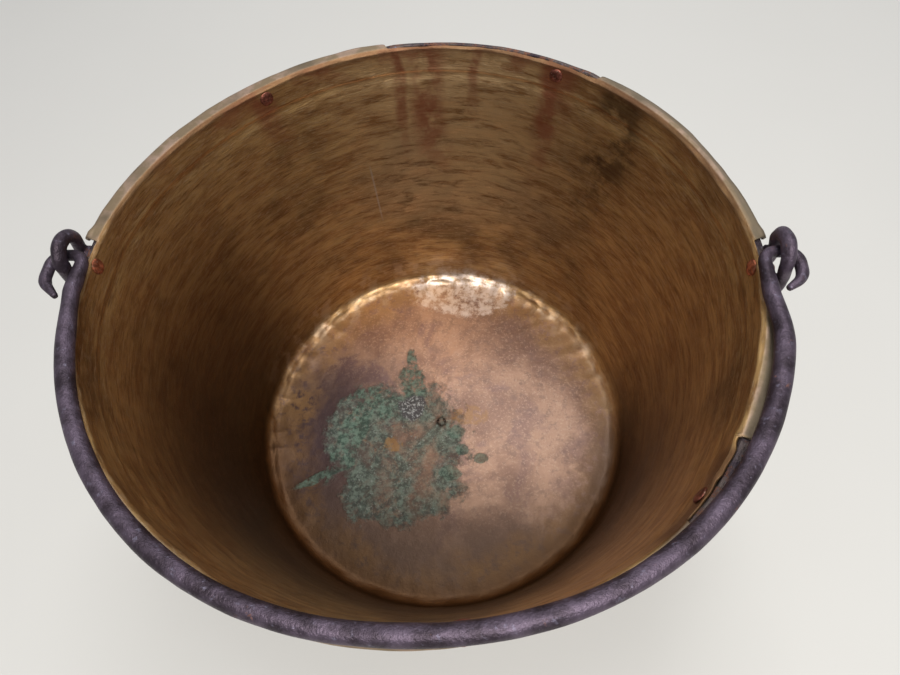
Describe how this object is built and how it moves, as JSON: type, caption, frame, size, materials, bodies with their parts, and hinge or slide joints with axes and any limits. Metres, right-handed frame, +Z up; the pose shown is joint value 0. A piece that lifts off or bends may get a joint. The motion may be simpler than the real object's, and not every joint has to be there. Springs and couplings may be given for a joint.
{
  "type": "brass kettle",
  "caption": "Open flared kettle of hammered sheet brass with a flat base, rim folded over an iron hoop, riveted iron ears and a swinging hooked iron bail.",
  "frame": {"origin": "centre of the flat base's underside", "axes": "+Z up out of the mouth; +X through the right ear, parallel to the bail's hinge axis; the bail lies towards -Y"},
  "size_m": [0.4477, 0.4158, 0.2658],
  "materials": {
    "aged_brass": "hand-hammered, aged and scoured, with verdigris on the floor",
    "wrought_iron": "forged, dark, lightly rusted",
    "rivet_copper": "peened copper, tarnished red-brown"
  },
  "bodies": {
    "kettle_body": {"pan_shell": "aged_brass", "rim_hoop": "wrought_iron", "ear_left": "wrought_iron", "ear_right": "wrought_iron", "ear_rivet_left": "rivet_copper", "ear_rivet_right": "rivet_copper", "rivet_back_left": "rivet_copper", "rivet_back_right": "rivet_copper", "rivet_front": "rivet_copper", "rivet_front_right": "rivet_copper"},
    "bail": {"bail": "wrought_iron"}
  },
  "joints": [
    {"name": "bail_swing", "type": "hinge", "parent": "kettle_body", "child": "bail", "pos_m": [0, 0.0042, 0.2504], "axis": [-1, 0, 0], "range_deg": [0, 180.4]}
  ]
}
